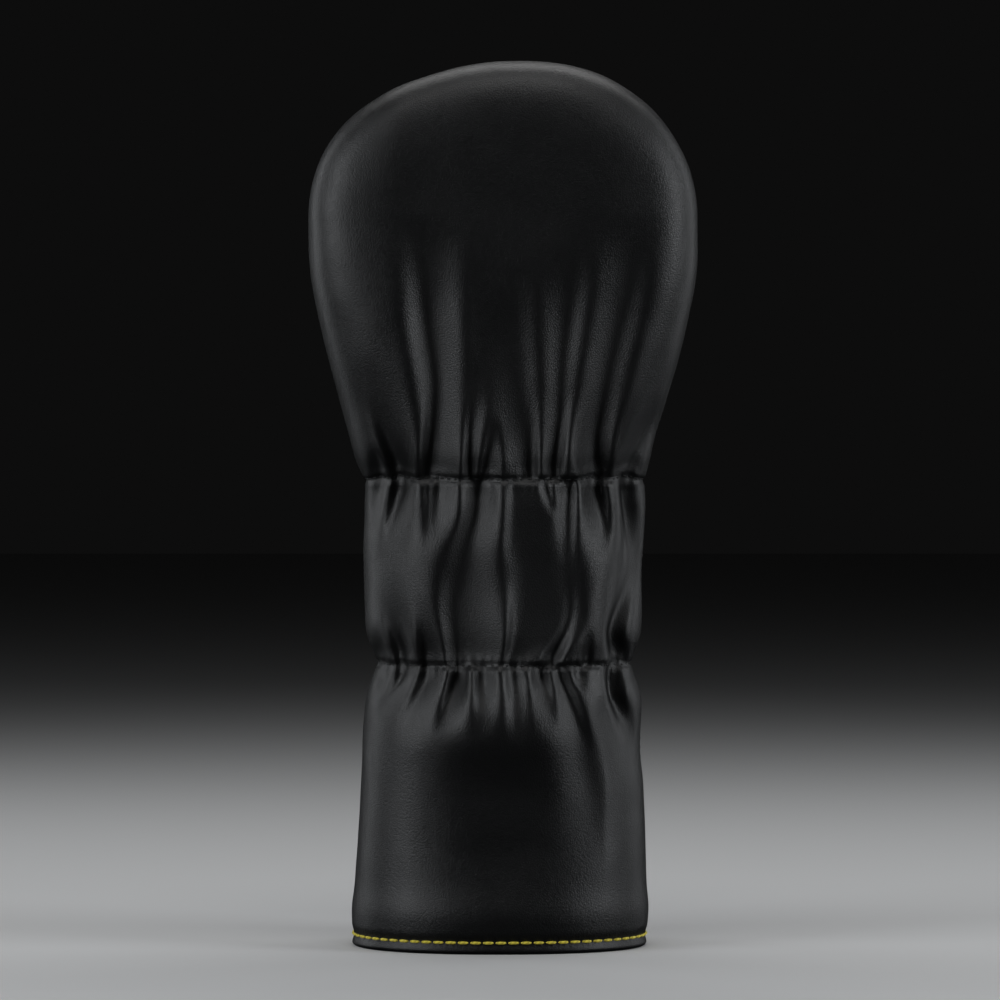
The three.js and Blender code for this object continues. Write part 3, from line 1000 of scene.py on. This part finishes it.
class HEADCOVER_OT_linings(bpy.types.Operator):
    """Line the head with fleece and the sleeve with cloth."""

    bl_idname = "head_cover.linings"
    bl_label = "Linings"

    def execute(self, context):
        fleece = soft_material(
            "Charcoal fleece", (0.012, 0.0125, 0.014), (0.04, 0.041, 0.046), 0.6, 0.0008,
            Clump_scale=300.0, Fibre_scale=2200.0,
        )
        cloth = woven_material("Black sleeve cloth", (0.022, 0.022, 0.025), 90.0, 120.0)
        for half, side in ((BACK, "back"), (FRONT, "front")):
            name = f"{side}_fleece"
            head = layer_piece(name, half, LINING_JOIN, None, FLEECE_INSET, FLEECE, fleece)
            finish_piece(head, f"{side}_head_lining")
            low, high = HEM_TURN_UP + 0.7, LINING_JOIN - 0.4
            sleeve = layer_piece(f"{side}_cloth", half, low, high, CLOTH_INSET, CLOTH, cloth)
            finish_piece(sleeve, f"{side}_sleeve_lining")
        return {"FINISHED"}


class HEADCOVER_OT_elastics(bpy.types.Operator):
    """Sew in the two elastics behind the gathers."""

    bl_idname = "head_cover.elastics"
    bl_label = "Elastics"

    def execute(self, context):
        material = woven_material("Black elastic", (0.016, 0.016, 0.016), 160.0, 7.0)
        for which, line in (("upper", UPPER_GATHER), ("lower", LOWER_GATHER)):
            low, high = line - ELASTIC_WIDTH / 2, line + ELASTIC_WIDTH / 2
            name = f"{which}_elastic_tape"
            piece = layer_piece(
                name, BACK, low, high, ELASTIC_INSET, ELASTIC, material, spacing=1.5
            )
            finish_piece(piece, f"{which}_elastic")
        return {"FINISHED"}


class HEADCOVER_OT_gather_stitches(bpy.types.Operator):
    """Stitch across the back along the two gathers."""

    bl_idname = "head_cover.gather_stitches"
    bl_label = "Gather Stitches"

    def execute(self, context):
        material = black_thread()
        pitch = settings().gather_stitch_pitch / MM
        across = np.linspace(-0.985, 0.985, 600)
        for which, line in (("upper", UPPER_GATHER), ("lower", LOWER_GATHER)):
            route = surface_route(BACK, across, line)
            piece = stitch_row(f"{which}_gather_stitches", route, pitch, GATHER_STITCH, material)
            finish_piece(piece, f"{which}_gather_thread")
        return {"FINISHED"}


class HEADCOVER_OT_hem_stitches(bpy.types.Operator):
    """Topstitch round the hem in the contrasting thread."""

    bl_idname = "head_cover.hem_stitches"
    bl_label = "Hem Stitches"

    def execute(self, context):
        material = thread_material("Yellow thread", tuple(settings().hem_thread_color), 0.5)
        across = np.linspace(-0.99, 0.99, 700)
        back = surface_route(BACK, across, HEM_STITCH)
        front = surface_route(FRONT, across[::-1], HEM_STITCH)
        pitch = settings().hem_stitch_pitch / MM
        piece = stitch_row("hem_stitches", joined(back, front), pitch, HEM_STITCH_SHAPE, material)
        finish_piece(piece, "hem_thread")
        return {"FINISHED"}


class HEADCOVER_OT_seam_stitches(bpy.types.Operator):
    """Stitch the side seams and over the crown, on the front's edge."""

    bl_idname = "head_cover.seam_stitches"
    bl_label = "Seam Stitches"

    def execute(self, context):
        edge = SEAM_STITCH_EDGE
        climb = np.linspace(2.0, DOME_START + DOME_SPAN * edge, 900)
        left = surface_route(FRONT, np.full_like(climb, -edge), climb)
        over = np.linspace(-edge, edge, 500)
        crown = surface_route(FRONT, over, np.full_like(over, DOME_START + DOME_SPAN * edge))
        right = surface_route(FRONT, np.full_like(climb, edge), climb[::-1])
        route = joined(left, crown, right)
        piece = stitch_row("seam_stitches", route, SEAM_STITCH_PITCH, SEAM_STITCH, black_thread())
        finish_piece(piece, "seam_thread")
        return {"FINISHED"}


FLOOR_SIZE = 12.0
FLOOR_COLOR = (0.62, 0.62, 0.62, 1.0)
WORLD_COLOR = (0.004, 0.004, 0.004, 1.0)
AIM = (0.0, 0.0, 0.17)
COOL = (0.94, 0.97, 1.0)
SIDE_LIGHT_DISTANCE, SIDE_LIGHT_HEIGHT = 1.2, 0.46

# Lights that stand round the cover: name, bearing from the camera's side in degrees, size and power.
SIDE_LIGHTS = (
    ("left_softbox", -60, (0.6, 1.0), 7.0),
    ("right_softbox", 69, (0.45, 1.0), 6.7),
    ("front_left_softbox", -120, (0.4, 1.2), 3.0),
    ("front_right_softbox", 122, (0.4, 1.2), 2.4),
)
CAMERA_LENS, CAMERA_SENSOR = 162.7, 36.0
CAMERA_PLACE = (-0.0009, -1.65, 0.162)


def area_light(name, place, target, size, power, color=(1.0, 1.0, 1.0)):
    light = bpy.data.lights.new(name, "AREA")
    light.shape = "RECTANGLE"
    light.size, light.size_y = size
    light.energy = power
    light.color = color
    lamp = bpy.data.objects.new(name, light)
    lamp.location = place
    lamp.rotation_euler = (Vector(target) - Vector(place)).to_track_quat("-Z", "Y").to_euler()
    bpy.context.scene.collection.objects.link(lamp)


class HEADCOVER_OT_stage(bpy.types.Operator):
    """Set the floor, the soft studio lights and the camera."""

    bl_idname = "head_cover.stage"
    bl_label = "Stage"

    def execute(self, context):
        material, nodes, links, shader = new_material("Pale floor")
        shader.inputs["Base Color"].default_value = FLOOR_COLOR
        shader.inputs["Roughness"].default_value = 0.7
        bm = bmesh.new()
        bmesh.ops.create_grid(bm, x_segments=1, y_segments=1, size=FLOOR_SIZE)
        floor = object_from(bm, "floor", material)
        floor.visible_glossy = False
        world = bpy.data.worlds.new("Studio")
        world.use_nodes = True
        world.node_tree.nodes["Background"].inputs["Color"].default_value = WORLD_COLOR
        context.scene.world = world
        context.scene.view_settings.view_transform = "Standard"
        for name, bearing, size, power in SIDE_LIGHTS:
            angle = math.radians(bearing)
            x, y = SIDE_LIGHT_DISTANCE * math.sin(angle), -SIDE_LIGHT_DISTANCE * math.cos(angle)
            area_light(name, (x, y, SIDE_LIGHT_HEIGHT), AIM, size, power, COOL)
        area_light("crown_softbox", (0.05, 0.5, 1.1), (0.0, 0.0, 0.25), (1.0, 0.4), 3.2)
        area_light("top_softbox", (0.0, -0.45, 1.2), (0.0, 0.0, 0.2), (0.8, 0.4), 2.9)
        camera = bpy.data.cameras.new("camera")
        camera.lens = CAMERA_LENS
        camera.sensor_width = CAMERA_SENSOR
        eye = bpy.data.objects.new("camera", camera)
        eye.location = CAMERA_PLACE
        eye.rotation_euler = (math.pi / 2, 0.0, 0.0)
        context.scene.collection.objects.link(eye)
        context.scene.camera = eye
        return {"FINISHED"}


OPERATORS = (
    HEADCOVER_OT_panels,
    HEADCOVER_OT_padding,
    HEADCOVER_OT_linings,
    HEADCOVER_OT_elastics,
    HEADCOVER_OT_gather_stitches,
    HEADCOVER_OT_hem_stitches,
    HEADCOVER_OT_seam_stitches,
    HEADCOVER_OT_stage,
)


class HEADCOVER_PT_panel(bpy.types.Panel):
    bl_idname = "HEADCOVER_PT_panel"
    bl_label = "Driver Head Cover"
    bl_space_type = "VIEW_3D"
    bl_region_type = "UI"
    bl_category = "Head Cover"

    def draw(self, context):
        layout = self.layout
        for label in HeadCoverSettings.__annotations__:
            layout.prop(context.scene.head_cover, label)
        for operator in OPERATORS:
            layout.operator(operator.bl_idname)


CLASSES = (HeadCoverSettings, *OPERATORS, HEADCOVER_PT_panel)


def register():
    for each in CLASSES:
        bpy.utils.register_class(each)
    bpy.types.Scene.head_cover = bpy.props.PointerProperty(type=HeadCoverSettings)


def unregister():
    del bpy.types.Scene.head_cover
    for each in reversed(CLASSES):
        bpy.utils.unregister_class(each)


def main():
    register()
    bpy.ops.head_cover.panels()
    bpy.ops.head_cover.padding()
    bpy.ops.head_cover.linings()
    bpy.ops.head_cover.elastics()
    bpy.ops.head_cover.gather_stitches()
    bpy.ops.head_cover.hem_stitches()
    bpy.ops.head_cover.seam_stitches()
    bpy.ops.head_cover.stage()
    bpy.context.view_layer.update()


if __name__ == "__main__":
    main()
